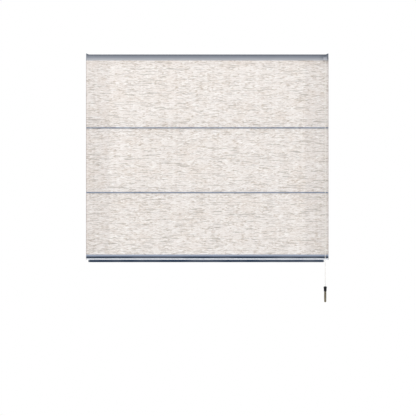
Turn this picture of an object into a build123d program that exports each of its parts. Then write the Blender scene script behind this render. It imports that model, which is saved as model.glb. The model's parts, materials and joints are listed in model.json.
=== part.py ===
from build123d import *
import os

os.makedirs("parts", exist_ok=True)

# A roman blind, in millimetres. X runs along the width, -Y faces the room, the wall is the plane
# y = 0, and the origin is the middle of the wall screws' pattern.

# Overall sizes
blind_width = 1000.0
drop = 857.0  # headrail top to the underside of the bottom rail
band_height = 25.0  # headrail left bare above the fabric

# Headrail extrusion
rail_depth = 38.0
rail_height = 46.0
rail_wall = 1.5
rail_corner_share = 0.6  # outer corners, as a share of the wall
rail_rise = 16.0  # headrail top above the screw line
wall_gap = 3.0  # headrail back to the wall
front_lip = 2.5  # lower lips, which carry the inner fittings
rear_lip = 5.0
cap_thickness = 2.0
cap_proud = 0.8
cap_plug_length = 3.0
cap_plug_height = 4.0
cap_plug_rise = 6.0  # above the lower lips
ear_length = 11.0  # the caps' raised front corners
ear_height = 4.0
ear_depth = 5.0
clear = 0.2  # between pieces that are only slid or laid together
running = 0.05  # radial, shaft in hole
swing = 0.3  # between pieces that move past each other
past = 1.0  # how far a cutting shape runs beyond what it cuts
touch = 0.01  # for picking edges by their place

# Brackets and their clamps
bracket_inset = 100.0  # bracket middle to the edge of the blind
screw_spacing = 20.0
screw_hole_radius = 2.25
bracket_width = 30.0
bracket_thickness = 2.0
slot_width = 12.0
slot_height = 3.0
clamp_length = 24.0
clamp_width = 16.0
clamp_thickness = 2.6
clamp_screw_radius = 2.0
clamp_head_radius = 4.0
cross_width = 1.0
cross_depth = 1.6

# Fabric and its tapes
fabric_thickness = 1.0
tape_thickness = 1.0
tape_height = 20.0
tape_inset = 8.0
tape_drop = 0.5
first_panel = 278.0  # fabric top to the upper rib

# Ribs and battens
rib_height = 4.0
rib_depth = 4.0
rib_inset = 1.0
rib_corner_share = 0.42
batten_height = 14.0
batten_depth = 2.0
batten_inset = 6.0
nip = 0.1  # rib or batten to the fabric
rivet_radius = 1.2
rivet_head_radius = 3.0
rivet_head_depth = 1.0
rivet_round_share = 0.7
rivet_inset = 30.0
rivet_inner_share = 0.2  # inner rivets from the middle, as a share of the width
batten_corner = 3.0

# Eyes that guide the lift lines
line_inset = 100.0  # outer lift lines to the edge of the blind
line_radius = 0.6
line_split = 1.0  # below the pulley's turn, where the rail's run ends and the lift line starts
line_setback = 7.0  # lift lines behind the front of the headrail
eye_ring_radius = 4.0
eye_wire_radius = 1.0
eye_plate_width = 16.0
eye_plate_height = 10.0
eye_plate_depth = 1.4
eye_plate_corner = 3.0
eye_stem_width = 3.0
knot_radius = 2.4
knot_drop = 5.0
knot_flat = 0.9

# Pulleys
pulley_turn = 7.0  # radius of the line's middle around a pulley
pulley_rim = 2.0  # flange past the groove's bottom
pulley_width = 5.4
pulley_groove = 3.0
axle_radius = 1.5
cheek_thickness = 1.8
first_line_height = 4.0
line_step = 3.0  # each line runs this much lower than the one before
base_thickness = 2.0
housing_length = 26.0
cheek_corner = 4.0
cheek_inset = 2.0

# Cord lock
lock_gap = 6.0  # lock to the cord guide
lock_length = 36.0
lock_wall = 2.4
channel_play = 1.0  # under the cam's spring
cam_hub_radius = 4.0
cam_nose_radius = 3.0
cam_nose_reach = 3.2
spring_coil_radius = 2.6
spring_wire_radius = 0.32
spring_turns = 3
spring_foot_length = 8.0
spring_foot_share = 0.9

# Pull cord and its guide
cord_inset = 14.0  # cord to the edge of the blind
cord_radius = 1.1
cord_tuck = 2.0  # its end in front of the lift lines' plane
cord_drop = 956.0  # headrail top to the connector
guide_width = 16.0
guide_wall = 2.0
guide_play = 0.8  # cord to the inside of the guide's nose
guide_nose_corner = 6.0
guide_top = 9.0
guide_turn = 6.1  # radius of the cord's middle around the roller
guide_rim = 0.5
guide_roller_width = 8.0
guide_groove = 4.0
guide_leg_thickness = 1.0
guide_leg_inset = 3.0
guide_leg_root = 4.0
leg_ease = 1.5
guide_leg_reach = 2.0  # past the headrail's front wall
guide_leg_play = 1.0
roller_reach = 10.0  # roller axis in front of the headrail
roller_z = -2.5
connector_height = 21.0
connector_top_radius = 7.0
connector_foot_radius = 5.6
connector_shoulder = 2.5
weight_height = 45.0
weight_radius = 4.8
weight_neck_share = 0.6
weight_round_share = 0.85
neck_socket = 6.0
neck_length = 5.5

# Bottom rail
foot_height = 9.7
foot_depth = 12.0
foot_wall = 1.5
foot_corner_share = 2.0
foot_inset_left = 9.0  # outside of the bottom rail's end to the fabric's edge
foot_inset_right = 18.0
foot_cap = 5.0
foot_cap_plug = 8.0
foot_cap_share = 0.9
insert_height = 6.4
insert_depth = 1.8
insert_corner_share = 0.4
insert_inset = 2.0
bottom_rib_height = 7.0
bottom_rib_depth = 4.5
bottom_rib_slope = 8.0  # height of the leaning part above it
bottom_rib_edge = 1.0  # thickness at the slope's top
upstand_depth = 1.5
weight_bar_play = 1.0

# Levels and planes that several pieces share
rail_back = -wall_gap
rail_front = rail_back - rail_depth
rail_top = rail_rise
rail_foot = rail_top - rail_height
rail_end = blind_width / 2 - cap_thickness
bracket_spacing = blind_width - 2 * bracket_inset
outer_rivet = blind_width / 2 - rivet_inset
inner_rivet = blind_width * rivet_inner_share
rivet_places = (-outer_rivet, -inner_rivet, inner_rivet, outer_rivet)
outer_line = blind_width / 2 - line_inset
line_columns = (-outer_line, 0.0, outer_line)
line_depth = rail_front + line_setback  # y of the lift lines
shelf_top = rail_top - bracket_thickness
shelf_foot = shelf_top - rail_wall
web_top = shelf_foot - slot_height
web_foot = web_top - rail_wall
slot_y = (rail_front + rail_back) / 2
seat = rail_foot + rail_wall  # top of the lower lips
inner_front = rail_front + rail_wall
inner_back = rail_back - rail_wall
fabric_top = rail_top - band_height
fabric_back = rail_front - 2 * tape_thickness
fabric_front = fabric_back - fabric_thickness
foot_bottom = rail_top - drop
foot_top = foot_bottom + foot_height
fabric_bottom = foot_top + clear
insert_bottom = foot_top + clear
bottom_rib_z = insert_bottom + insert_height + clear + bottom_rib_height / 2
upper_rib_z = fabric_top - first_panel
lower_rib_z = (upper_rib_z + bottom_rib_z) / 2
batten_front = fabric_back + nip
batten_back = batten_front + batten_depth
foot_front = fabric_front - foot_depth / 2
foot_back = foot_front + foot_depth
foot_left = -blind_width / 2 + foot_inset_left + foot_cap
foot_right = blind_width / 2 - foot_inset_right - foot_cap
cord_x = blind_width / 2 - cord_inset
guide_left = cord_x - guide_width / 2
guide_right = cord_x + guide_width / 2
guide_bottom = fabric_top + 0.5
pulley_flange = pulley_turn + pulley_rim
guide_flange = guide_turn + guide_rim
roller_y = rail_front - roller_reach
cord_y = roller_y - guide_turn
guide_reach = roller_reach + guide_turn + cord_radius + guide_play + guide_wall
cord_exit_z = roller_z + guide_turn
connector_top = rail_top - cord_drop
cam_z = first_line_height - 2 * line_step - line_radius - swing - cam_nose_reach - cam_nose_radius
lock_start = guide_left - lock_gap - lock_length
cam_x = lock_start + lock_length / 2
cam_back = line_depth + line_radius + 2 * running


def slab(x0, x1, y0, y1, z0, z1):
    middle = ((x0 + x1) / 2, (y0 + y1) / 2, (z0 + z1) / 2)
    return Pos(*middle) * Box(x1 - x0, y1 - y0, z1 - z0)


def rod_x(y, z, radius, x0, x1):
    return Pos((x0 + x1) / 2, y, z) * Rot(0, 90, 0) * Cylinder(radius, x1 - x0)


def rod_y(x, z, radius, y0, y1):
    return Pos(x, (y0 + y1) / 2, z) * Rot(90, 0, 0) * Cylinder(radius, y1 - y0)


def rod_z(x, y, radius, z0, z1):
    return Pos(x, y, (z0 + z1) / 2) * Cylinder(radius, z1 - z0)


def along_x(outline, x0, x1):
    """A solid of one (y, z) outline between two x."""
    points = [(x0, y, z) for y, z in outline]
    face = make_face(Polyline(*points, close=True))
    return extrude(face, amount=x1 - x0, dir=(1, 0, 0))


def spool(turn_radius, flange_radius, width, groove_width, bore_radius):
    """A grooved wheel about Z, its groove's bottom at turn_radius."""
    half, groove = width / 2, groove_width / 2
    outline = Polyline(
        (bore_radius, 0, -half),
        (flange_radius, 0, -half),
        (flange_radius, 0, -groove),
        (turn_radius, 0, -groove / 2),
        (turn_radius, 0, groove / 2),
        (flange_radius, 0, groove),
        (flange_radius, 0, half),
        (bore_radius, 0, half),
        close=True,
    )
    return revolve(make_face(outline), axis=Axis.Z)


def tube(points, radius, bends):
    """A round cord along straight runs joined by arcs."""
    route = FilletPolyline(*points, radius=bends)
    section = Plane(origin=route @ 0, z_dir=route % 0) * Circle(radius)
    solid = sweep(section, path=route)
    print("cord bends", bends, "volume ratio", round(solid.volume / (section.area * route.length), 4))
    return solid


def write(name, *solids):
    shape = solids[0] if len(solids) == 1 else Compound(children=list(solids))
    export_step(shape, f"parts/{name}.step")


# Headrail


def make_headrail():
    front = (rail_front, inner_front)
    back = (inner_back, rail_back)
    slot_front = slot_y - slot_width / 2
    slot_back = slot_y + slot_width / 2
    section = [
        (*front, rail_foot, rail_top),
        (*back, rail_foot, shelf_top),
        (rail_front, rail_back, web_foot, web_top),
        (rail_front, slot_front, shelf_foot, shelf_top),
        (slot_back, rail_back, shelf_foot, shelf_top),
        (rail_front, inner_front + front_lip, rail_foot, seat),
        (inner_back - rear_lip, rail_back, rail_foot, seat),
    ]
    rail = slab(-rail_end, rail_end, *section[0])
    for wall in section[1:]:
        rail += slab(-rail_end, rail_end, *wall)
    outer = rail.edges().filter_by(Axis.X).filter_by_position(Axis.Y, rail_front - touch, rail_front + touch)
    rail = fillet(outer.sort_by(Axis.Z)[-1], rail_wall * rail_corner_share)
    rail = fillet(
        rail.edges()
        .filter_by(Axis.X)
        .filter_by_position(Axis.Y, rail_front - touch, rail_front + touch)
        .sort_by(Axis.Z)[0],
        rail_wall * rail_corner_share,
    )
    window = slab(
        guide_left + guide_wall + clear,
        guide_right - guide_wall - clear,
        rail_front - past,
        inner_front + past,
        guide_bottom + guide_wall,
        guide_top - guide_wall,
    )
    return rail - window


def make_end_cap(side):
    outer = side * blind_width / 2
    face = side * rail_end
    x0, x1 = sorted((outer, face))
    plate = slab(x0, x1, rail_front, rail_back, rail_foot - cap_proud, rail_top + cap_proud)
    corners = plate.edges().filter_by(Axis.X)
    plate = fillet(corners, cap_thickness)
    x0, x1 = sorted((face, face - side * cap_plug_length))
    plug_foot = seat + cap_plug_rise
    plug = slab(x0, x1, slot_y - slot_width, slot_y + slot_width, plug_foot, plug_foot + cap_plug_height)
    ear_end = outer - side * ear_length
    ear_face = make_face(
        Polyline(
            (outer, rail_front, rail_top - ear_height),
            (outer, rail_front, rail_top + ear_height),
            (face, rail_front, rail_top + ear_height),
            (ear_end, rail_front, rail_top),
            (face, rail_front, rail_top),
            (face, rail_front, rail_top - ear_height),
            close=True,
        )
    )
    ear = extrude(ear_face, amount=ear_depth, dir=(0, 1, 0))
    return plate + plug + ear


def make_bracket(x):
    left, right = x - bracket_width / 2, x + bracket_width / 2
    arm_front = inner_front + front_lip
    arm = slab(left, right, arm_front, 0, shelf_top, rail_top)
    plate = slab(left, right, -bracket_thickness, 0, -rail_rise, rail_top)
    bracket = arm + plate
    bend = bracket.edges().filter_by(Axis.X).filter_by_position(Axis.Y, -touch, touch).sort_by(Axis.Z)[-1]
    bracket = fillet(bend, bracket_thickness)
    for z in (-screw_spacing / 2, screw_spacing / 2):
        bracket -= rod_y(x, z, screw_hole_radius, -2 * bracket_thickness, bracket_thickness)
    sink = Pos(x, slot_y, (shelf_top + rail_top) / 2)
    bracket -= sink * Cone(clamp_screw_radius + clear, clamp_head_radius + clear, bracket_thickness)
    return bracket


def make_clamp_plate(x):
    foot = web_top + clear
    plate = slab(
        x - clamp_width / 2,
        x + clamp_width / 2,
        slot_y - clamp_length / 2,
        slot_y + clamp_length / 2,
        foot,
        foot + clamp_thickness,
    )
    plate = fillet(plate.edges().filter_by(Axis.Z), clamp_width / 4)
    return plate - rod_z(x, slot_y, clamp_screw_radius + running, web_top, shelf_foot)


def make_clamp_screw(x):
    head = Pos(x, slot_y, (shelf_top + rail_top) / 2)
    screw = head * Cone(clamp_screw_radius, clamp_head_radius, bracket_thickness)
    screw += rod_z(x, slot_y, clamp_screw_radius, web_top + clear, shelf_top)
    recess = Pos(x, slot_y, rail_top) * Box(2 * clamp_screw_radius, cross_width, cross_depth)
    cross = Pos(x, slot_y, rail_top) * Box(cross_width, 2 * clamp_screw_radius, cross_depth)
    return screw - recess - cross


# Pulleys


def line_height(index):
    return first_line_height - index * line_step


def pulley_centre(index):
    return (line_columns[index] + pulley_turn, line_depth, line_height(index) - pulley_turn)


def inner_base(x0, x1):
    """The foot of an inner fitting, which lies across the headrail's lower lips."""
    return slab(x0, x1, inner_front + clear, inner_back - clear, seat, seat + base_thickness)


def make_pulley_housing(index):
    x, y, z = pulley_centre(index)
    left, right = x - housing_length / 2, x + housing_length / 2
    housing = inner_base(left, right)
    cheek_near = pulley_width / 2 + swing
    cheek_far = cheek_near + cheek_thickness
    top = web_foot - clear
    for side in (-1, 1):
        y0, y1 = sorted((y + side * cheek_near, y + side * cheek_far))
        cheek = slab(left + cheek_inset, right - cheek_inset, y0, y1, seat, top)
        housing += fillet(cheek.edges().filter_by(Axis.Y).group_by(Axis.Z)[-1], cheek_corner)
    housing -= rod_y(x, z, axle_radius + running, y - 2 * cheek_far, y + 2 * cheek_far)
    return housing - rod_z(line_columns[index], y, 4 * line_radius, seat - past, seat + base_thickness + past)


def make_pulley_axle(index):
    x, y, z = pulley_centre(index)
    reach = pulley_width / 2 + swing + cheek_thickness
    return rod_y(x, z, axle_radius, y - reach, y + reach)


def make_pulley(index):
    groove = pulley_turn - line_radius - swing
    wheel = spool(groove, pulley_flange, pulley_width, pulley_groove, axle_radius + running)
    return Pos(*pulley_centre(index)) * Rot(90, 0, 0) * wheel


# Cord lock


def make_lock_body():
    x0, x1 = lock_start, lock_start + lock_length
    near = pulley_width / 2 + swing
    body = slab(
        x0,
        x1,
        line_depth - near - lock_wall,
        line_depth + near + lock_wall,
        seat,
        web_foot - clear,
    )
    channel_floor = cam_z - cam_hub_radius - 2 * spring_wire_radius - channel_play
    channel_roof = web_foot - clear - rail_wall
    body -= slab(x0 - past, x1 + past, line_depth - near, line_depth + near, channel_floor, channel_roof)
    body += inner_base(x0, x1)
    return body - rod_y(cam_x, cam_z, axle_radius + running, inner_front, line_depth + 4 * near)


def make_lock_pin():
    reach = pulley_width / 2 + swing + lock_wall
    return rod_y(cam_x, cam_z, axle_radius, line_depth - reach, line_depth + reach)


def make_lock_cam():
    y0, y1 = line_depth - pulley_width / 2, cam_back
    hub = rod_y(cam_x, cam_z, cam_hub_radius, y0, y1)
    nose = rod_y(cam_x, cam_z + cam_nose_reach, cam_nose_radius, y0, y1)
    flank = slab(cam_x - cam_nose_radius, cam_x + cam_nose_radius, y0, y1, cam_z, cam_z + cam_nose_reach)
    cam = hub + nose + flank
    return cam - rod_y(cam_x, cam_z, axle_radius + running, y0 - past, y1 + past)


def make_lock_spring():
    """A close-wound torsion spring around the pin, as its turns' rounded outer form with a foot."""
    start = cam_back + clear
    pitch = 2 * spring_wire_radius
    bore = spring_coil_radius - spring_wire_radius
    end = start + spring_turns * pitch
    sides = [Line((bore, start, 0), (spring_coil_radius, start, 0))]
    for turn in range(spring_turns):
        y = start + turn * pitch
        crest = (spring_coil_radius + spring_wire_radius, y + pitch / 2, 0)
        sides.append(ThreePointArc((spring_coil_radius, y, 0), crest, (spring_coil_radius, y + pitch, 0)))
    sides.append(Polyline((spring_coil_radius, end, 0), (bore, end, 0), (bore, start, 0)))
    coil = Pos(cam_x, 0, cam_z) * revolve(make_face(sides), axis=Axis.Y)
    foot_y = end - spring_wire_radius
    foot = rod_x(
        foot_y,
        cam_z - spring_coil_radius,
        spring_wire_radius * spring_foot_share,
        cam_x,
        cam_x + spring_foot_length,
    )
    return coil + foot


# Cord guide


def make_turn_block():
    near = pulley_width / 2 + swing
    back = line_depth + near + lock_wall
    block = slab(guide_left, guide_right, inner_front + clear, back, seat, web_foot - clear)
    block += inner_base(guide_left, guide_right)
    leg_back = inner_front + guide_leg_reach + guide_leg_play
    block -= slab(guide_left - past, guide_right + past, inner_front, leg_back, guide_bottom, guide_top)
    block -= rod_y(cord_x, cord_exit_z, cord_radius + clear, inner_front, line_depth)
    for index in range(len(line_columns)):
        block -= rod_x(line_depth, line_height(index), line_radius + clear, guide_left - past, cord_x)
    return block


def make_cord_guide():
    front = rail_front - guide_reach
    shell = slab(guide_left, guide_right, front, rail_front, guide_bottom, guide_top)
    shell = fillet(shell.edges().filter_by(Axis.X).sort_by(Axis.Y)[:2].sort_by(Axis.Z)[-1], guide_nose_corner)
    shell -= slab(
        guide_left + guide_wall,
        guide_right - guide_wall,
        front + guide_wall / 2,
        rail_front + past,
        guide_bottom - past,
        guide_top - guide_wall,
    )
    shell = shell - rod_x(roller_y, roller_z, axle_radius + running, guide_left - past, guide_right + past)
    leg_foot, leg_head = guide_bottom + guide_leg_inset, guide_top - guide_leg_inset
    for side in (-1, 1):
        outer = cord_x + side * (guide_width / 2 - guide_wall)
        x0, x1 = sorted((outer - side * guide_leg_thickness, outer - side * leg_ease * clear))
        shell += slab(x0, x1, rail_front - guide_leg_root, inner_front + guide_leg_reach, leg_foot, leg_head)
        x0, x1 = sorted((outer - side * guide_leg_thickness, outer))
        shell += slab(x0, x1, rail_front - guide_leg_root, rail_front, leg_foot, leg_head)
    return shell


def make_guide_axle():
    return rod_x(roller_y, roller_z, axle_radius, guide_left, guide_right)


def make_guide_roller():
    groove = guide_turn - cord_radius - swing
    wheel = spool(groove, guide_flange, guide_roller_width, guide_groove, axle_radius + running)
    return Pos(cord_x, roller_y, roller_z) * Rot(0, 90, 0) * wheel


# Lines and cord


def make_rail_line(index):
    x = line_columns[index]
    z = line_height(index)
    start = z - pulley_turn - line_split
    points = [
        (x, line_depth, start),
        (x, line_depth, z),
        (cord_x - guide_width / 4, line_depth, z),
    ]
    return tube(points, line_radius, [pulley_turn])


def make_lift_line(index):
    top = line_height(index) - pulley_turn - line_split
    bottom = bottom_rib_z - knot_drop + knot_radius * knot_flat
    return rod_z(line_columns[index], line_depth, line_radius, bottom, top)


def make_knot(index):
    knot = Pos(line_columns[index], line_depth, bottom_rib_z - knot_drop) * Sphere(knot_radius)
    return knot - rod_z(
        line_columns[index],
        line_depth,
        line_radius,
        bottom_rib_z - knot_drop + knot_radius * knot_flat,
        bottom_rib_z,
    )


def make_pull_cord():
    points = [
        (cord_x, line_depth - cord_tuck, cord_exit_z),
        (cord_x, cord_y, cord_exit_z),
        (cord_x, cord_y, connector_top),
    ]
    return tube(points, cord_radius, [guide_turn])


def make_connector():
    foot = connector_top - connector_height
    body = Pos(cord_x, cord_y, (connector_top + foot) / 2) * Cone(
        connector_foot_radius, connector_top_radius, connector_height
    )
    body = fillet(body.edges().sort_by(Axis.Z)[-1], connector_shoulder)
    return body - rod_z(cord_x, cord_y, weight_radius * weight_neck_share, foot - past, foot + neck_socket)


def make_weight():
    top = connector_top - connector_height
    weight = rod_z(cord_x, cord_y, weight_radius, top - weight_height, top)
    weight = fillet(weight.edges().sort_by(Axis.Z)[0], weight_radius * weight_round_share)
    neck_radius = weight_radius * weight_neck_share - running
    return weight + rod_z(cord_x, cord_y, neck_radius, top - past, top + neck_length)


# Fabric and tapes


def make_tape(y_back):
    x = blind_width / 2 - tape_inset
    top = fabric_top - tape_drop
    return slab(-x, x, y_back - tape_thickness, y_back, top - tape_height, top)


def rivet_rows():
    return (upper_rib_z, lower_rib_z, bottom_rib_z)


def make_fabric():
    x = blind_width / 2
    sheet = slab(-x, x, fabric_front, fabric_back, fabric_bottom, fabric_top)
    for z in rivet_rows():
        for place in rivet_places:
            sheet -= rod_y(place, z, rivet_radius + clear, fabric_front - past, fabric_back + past)
    return sheet


# Ribs


def make_rib(z, height, depth, inset):
    x = blind_width / 2 - inset
    back = fabric_front - nip
    rib = slab(-x, x, back - depth, back, z - height / 2, z + height / 2)
    front = rib.edges().filter_by(Axis.X).sort_by(Axis.Y)[:2]
    rib = fillet(front, height * rib_corner_share)
    for place in rivet_places:
        rib -= rod_y(place, z, rivet_radius + running, back - depth / 2, back + past)
    return rib


def make_batten(z):
    x = blind_width / 2 - batten_inset
    batten = slab(-x, x, batten_front, batten_back, z - batten_height / 2, z + batten_height / 2)
    batten = fillet(batten.edges().filter_by(Axis.Y), batten_corner)
    for place in rivet_places:
        batten -= rod_y(place, z, rivet_radius + running, batten_front - past, batten_back + past)
    return batten


def make_rivets(z, rib_depth_here, back):
    rivets = []
    for place in rivet_places:
        shank = rod_y(place, z, rivet_radius, fabric_front - nip - rib_depth_here / 2, back)
        head = rod_y(place, z, rivet_head_radius, back, back + rivet_head_depth)
        head = fillet(head.edges().sort_by(Axis.Y)[-1], rivet_head_depth * rivet_round_share)
        rivets.append(shank + head)
    return rivets


def make_eyes(z, back):
    eyes = []
    for x in line_columns:
        plate = slab(
            x - eye_plate_width / 2,
            x + eye_plate_width / 2,
            back,
            back + eye_plate_depth,
            z - eye_plate_height / 2,
            z + eye_plate_height / 2,
        )
        plate = fillet(plate.edges().filter_by(Axis.Y), eye_plate_corner)
        neck = slab(
            x - eye_stem_width / 2,
            x + eye_stem_width / 2,
            back,
            line_depth - eye_ring_radius,
            z - eye_wire_radius,
            z + eye_wire_radius,
        )
        ring = Pos(x, line_depth, z) * Torus(eye_ring_radius, eye_wire_radius)
        eyes.append(plate + neck + ring)
    return eyes


# Bottom rail


def make_bottom_rail():
    rail = slab(foot_left, foot_right, foot_front, foot_back, foot_bottom, foot_top)
    near_front = (foot_front - past, foot_front + past)
    front_edges = rail.edges().filter_by(Axis.X).filter_by_position(Axis.Y, *near_front)
    rail = fillet(front_edges, foot_wall * foot_corner_share)
    rail -= slab(
        foot_left - past,
        foot_right + past,
        foot_front + foot_wall,
        foot_back - foot_wall,
        foot_bottom + foot_wall,
        foot_top - foot_wall,
    )
    upstand_top = bottom_rib_z + bottom_rib_height / 2
    upstand_back = batten_front + upstand_depth
    rail += slab(foot_left, foot_right, batten_front, upstand_back, foot_top - past, upstand_top)
    for place in rivet_places:
        rail -= rod_y(place, bottom_rib_z, rivet_radius + running, batten_front - past, upstand_back + past)
    return rail


def make_weight_bar():
    play = weight_bar_play / 2
    end_gap = foot_cap_plug + weight_bar_play
    return slab(
        foot_left + end_gap,
        foot_right - end_gap,
        foot_front + foot_wall + play,
        foot_back - foot_wall - play,
        foot_bottom + foot_wall,
        foot_top - foot_wall - weight_bar_play,
    )


def make_rail_insert():
    x = blind_width / 2 - insert_inset
    back = fabric_front - nip
    strip = slab(-x, x, back - insert_depth, back, insert_bottom, insert_bottom + insert_height)
    return fillet(strip.edges().filter_by(Axis.X).sort_by(Axis.Y)[:2], insert_depth * insert_corner_share)


def make_bottom_rib():
    """The lowest rib: an upright face with a leaning one above it, which thins to the fabric."""
    x = blind_width / 2
    back = fabric_front - nip
    foot = bottom_rib_z - bottom_rib_height / 2
    shoulder = foot + bottom_rib_height
    top = shoulder + bottom_rib_slope
    outline = [
        (back, foot),
        (back - bottom_rib_depth, foot),
        (back - bottom_rib_depth, shoulder),
        (back - bottom_rib_edge, top),
        (back, top),
    ]
    rib = along_x(outline, -x, x)
    front = rib.edges().filter_by(Axis.X).sort_by(Axis.Y)[:2]
    rib = fillet(front, bottom_rib_edge)
    for place in rivet_places:
        rib -= rod_y(place, bottom_rib_z, rivet_radius + running, back - bottom_rib_depth / 2, back + past)
    return rib


def make_foot_cap(side):
    face = foot_right if side > 0 else foot_left
    x0, x1 = sorted((face, face + side * foot_cap))
    plate = slab(x0, x1, foot_front, foot_back, foot_bottom, foot_top)
    near_front = (foot_front - past, foot_front + past)
    front_edges = plate.edges().filter_by(Axis.X).filter_by_position(Axis.Y, *near_front)
    plate = fillet(front_edges, foot_wall * foot_corner_share)
    outer = plate.edges().filter_by(Axis.Y).sort_by(Axis.X)
    outer = outer[-2:] if side > 0 else outer[:2]
    plate = fillet(outer.sort_by(Axis.Z)[0], foot_cap * foot_cap_share)
    x0, x1 = sorted((face, face - side * foot_cap_plug))
    plug = slab(
        x0,
        x1,
        foot_front + foot_wall + clear,
        foot_back - foot_wall - clear,
        foot_bottom + foot_wall + clear,
        foot_top - foot_wall - clear,
    )
    return plate + plug


def build():
    write("headrail", make_headrail())
    for name, side in (("left", -1), ("right", 1)):
        x = side * bracket_spacing / 2
        write(f"end_cap_{name}", make_end_cap(side))
        write(f"bracket_{name}", make_bracket(x))
        write(f"clamp_plate_{name}", make_clamp_plate(x))
        write(f"rail_end_{name}", make_foot_cap(side))
    screws = [make_clamp_screw(side * bracket_spacing / 2) for side in (-1, 1)]
    write("clamp_screws", *screws)

    for index in range(len(line_columns)):
        number = index + 1
        write(f"pulley_housing_{number}", make_pulley_housing(index))
        write(f"pulley_axle_{number}", make_pulley_axle(index))
        write(f"pulley_{number}", make_pulley(index))
        write(f"rail_line_{number}", make_rail_line(index))
        write(f"lift_line_{number}", make_lift_line(index))
    write("line_knots", *[make_knot(index) for index in range(len(line_columns))])

    write("lock_body", make_lock_body())
    write("lock_pin", make_lock_pin())
    write("lock_cam", make_lock_cam())
    write("lock_spring", make_lock_spring())
    write("turn_block", make_turn_block())
    write("cord_guide", make_cord_guide())
    write("guide_axle", make_guide_axle())
    write("guide_roller", make_guide_roller())
    write("pull_cord", make_pull_cord())
    write("cord_connector", make_connector())
    write("cord_weight", make_weight())

    write("hook_tape", make_tape(rail_front))
    write("loop_tape", make_tape(rail_front - tape_thickness))
    write("fabric", make_fabric())

    for name, z in (("upper", upper_rib_z), ("lower", lower_rib_z)):
        write(f"rib_{name}", make_rib(z, rib_height, rib_depth, rib_inset))
        write(f"batten_{name}", make_batten(z))
        write(f"rivets_{name}", *make_rivets(z, rib_depth, batten_back))
        write(f"eyes_{name}", *make_eyes(z, batten_back))
    upstand_back = batten_front + upstand_depth
    write("rib_bottom", make_bottom_rib())
    write("rivets_bottom", *make_rivets(bottom_rib_z, bottom_rib_depth, upstand_back))
    write("eyes_bottom", *make_eyes(bottom_rib_z, upstand_back))
    write("bottom_rail", make_bottom_rail())
    write("rail_insert", make_rail_insert())
    write("weight_bar", make_weight_bar())


build()
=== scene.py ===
import json
import math

import bpy
import numpy as np
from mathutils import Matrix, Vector, noise


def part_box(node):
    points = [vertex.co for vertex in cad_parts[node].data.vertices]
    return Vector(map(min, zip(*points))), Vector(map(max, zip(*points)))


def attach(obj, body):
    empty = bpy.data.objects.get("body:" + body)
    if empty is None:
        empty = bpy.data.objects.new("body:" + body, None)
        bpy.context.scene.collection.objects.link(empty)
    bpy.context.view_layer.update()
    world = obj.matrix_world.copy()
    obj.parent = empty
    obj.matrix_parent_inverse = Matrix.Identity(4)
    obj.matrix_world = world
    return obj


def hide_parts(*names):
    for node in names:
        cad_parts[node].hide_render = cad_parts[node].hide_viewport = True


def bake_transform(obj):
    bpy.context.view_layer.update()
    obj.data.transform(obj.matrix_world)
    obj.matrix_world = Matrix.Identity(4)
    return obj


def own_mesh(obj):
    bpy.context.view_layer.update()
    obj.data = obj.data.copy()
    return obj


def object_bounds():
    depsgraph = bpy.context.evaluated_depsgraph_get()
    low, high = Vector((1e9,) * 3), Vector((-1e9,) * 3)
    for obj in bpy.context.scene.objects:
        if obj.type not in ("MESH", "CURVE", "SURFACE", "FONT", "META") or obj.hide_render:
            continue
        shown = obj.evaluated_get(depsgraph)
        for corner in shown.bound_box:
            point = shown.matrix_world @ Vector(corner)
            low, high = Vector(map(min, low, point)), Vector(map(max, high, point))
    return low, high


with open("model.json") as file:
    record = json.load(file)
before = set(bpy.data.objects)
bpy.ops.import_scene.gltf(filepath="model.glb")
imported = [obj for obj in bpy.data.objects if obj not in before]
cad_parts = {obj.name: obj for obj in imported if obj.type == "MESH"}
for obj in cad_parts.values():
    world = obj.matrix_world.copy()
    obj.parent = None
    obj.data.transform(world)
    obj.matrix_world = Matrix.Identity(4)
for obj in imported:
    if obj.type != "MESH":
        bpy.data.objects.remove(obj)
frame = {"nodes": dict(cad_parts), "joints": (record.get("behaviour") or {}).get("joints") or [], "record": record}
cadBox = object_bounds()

nodes = frame["nodes"]
mm = 0.001
print("stage: frame loaded,", len(nodes), "pieces from the frame")


# Helpers for node trees


def addNode(tree, kind, inputs=None, **settings):
    node = tree.nodes.new(kind)
    for key, value in settings.items():
        setattr(node, key, value)
    for key, value in (inputs or {}).items():
        node.inputs[key].default_value = value
    return node


def newGroup(name, inputs, outputs):
    group = bpy.data.node_groups.new(name, "ShaderNodeTree")
    for label, kind, value in inputs:
        socket = group.interface.new_socket(name=label, in_out="INPUT", socket_type=kind)
        if value is not None:
            socket.default_value = value
    for label, kind in outputs:
        group.interface.new_socket(name=label, in_out="OUTPUT", socket_type=kind)
    return group, group.nodes.new("NodeGroupInput"), group.nodes.new("NodeGroupOutput")


def maths(tree, operation, first, second=None, third=None):
    node = tree.nodes.new("ShaderNodeMath")
    node.operation = operation
    for slot, value in enumerate((first, second, third)):
        if value is None:
            continue
        if isinstance(value, (int, float)):
            node.inputs[slot].default_value = value
        else:
            tree.links.new(value, node.inputs[slot])
    return node.outputs[0]


def spread(tree, value, low, high, newLow=0.0, newHigh=1.0):
    node = addNode(
        tree,
        "ShaderNodeMapRange",
        {"From Min": low, "From Max": high, "To Min": newLow, "To Max": newHigh},
        interpolation_type="SMOOTHSTEP",
    )
    tree.links.new(value, node.inputs["Value"])
    return node.outputs[0]


def mixColour(tree, factor, first, second, blendType="MIX"):
    node = addNode(tree, "ShaderNodeMix", data_type="RGBA", blend_type=blendType)
    for socket, value in ((node.inputs[0], factor), (node.inputs[6], first), (node.inputs[7], second)):
        if isinstance(value, (int, float, tuple)):
            socket.default_value = value
        else:
            tree.links.new(value, socket)
    return node.outputs[2]


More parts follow.
